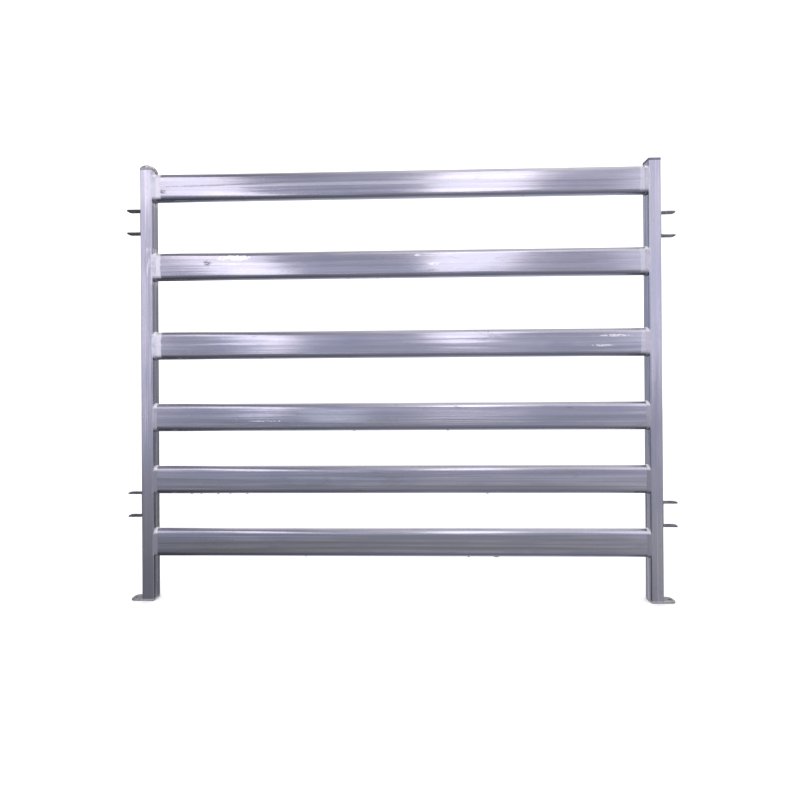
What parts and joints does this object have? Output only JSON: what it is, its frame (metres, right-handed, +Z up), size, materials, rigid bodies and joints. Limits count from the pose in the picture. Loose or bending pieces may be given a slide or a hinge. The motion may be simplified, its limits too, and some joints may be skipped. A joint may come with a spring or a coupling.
{
  "type": "livestock yard panel",
  "caption": "Welded galvanised panel for a portable cattle yard: oval rails between square posts, with pin lugs that join it to the next panel and feet that are pegged down.",
  "frame": {"origin": "on the ground, midway between the two posts and in the middle of their depth", "axes": "+X along the rails, towards the post whose lugs sit lower; +Y through the panel, from the side seen in the picture to the other side; +Z up"},
  "size_m": [2.264, 0.0532, 1.814],
  "materials": {
    "rail_tube": "semi-gloss galvanised oval tube with fine drawn lines along its length",
    "post_tube": "semi-gloss galvanised square tube, faintly mottled",
    "lug_plate": "dark, dull galvanised flat bar",
    "foot_plate": "dull galvanised plate, scuffed",
    "cap_plate": "dull galvanised plate",
    "weld_zinc": "rippled weld bead under pale zinc touch-up paint"
  },
  "bodies": {
    "root": {"rail_1": "rail_tube", "rail_2": "rail_tube", "rail_3": "rail_tube", "rail_4": "rail_tube", "rail_5": "rail_tube", "rail_6": "rail_tube", "rail_1_weld_left": "weld_zinc", "rail_1_weld_right": "weld_zinc", "rail_2_weld_left": "weld_zinc", "rail_2_weld_right": "weld_zinc", "rail_3_weld_left": "weld_zinc", "rail_3_weld_right": "weld_zinc", "rail_4_weld_left": "weld_zinc", "rail_4_weld_right": "weld_zinc", "rail_5_weld_left": "weld_zinc", "rail_5_weld_right": "weld_zinc", "rail_6_weld_left": "weld_zinc", "rail_6_weld_right": "weld_zinc", "post_left": "post_tube", "cap_left": "cap_plate", "cap_left_weld": "weld_zinc", "foot_left": "foot_plate", "foot_left_weld": "weld_zinc", "lug_upper_left": "lug_plate", "lug_upper_left_weld": "weld_zinc", "lug_lower_left": "lug_plate", "lug_lower_left_weld": "weld_zinc", "post_right": "post_tube", "cap_right": "cap_plate", "cap_right_weld": "weld_zinc", "foot_right": "foot_plate", "foot_right_weld": "weld_zinc", "lug_upper_right": "lug_plate", "lug_upper_right_weld": "weld_zinc", "lug_lower_right": "lug_plate", "lug_lower_right_weld": "weld_zinc"}
  },
  "joints": []
}
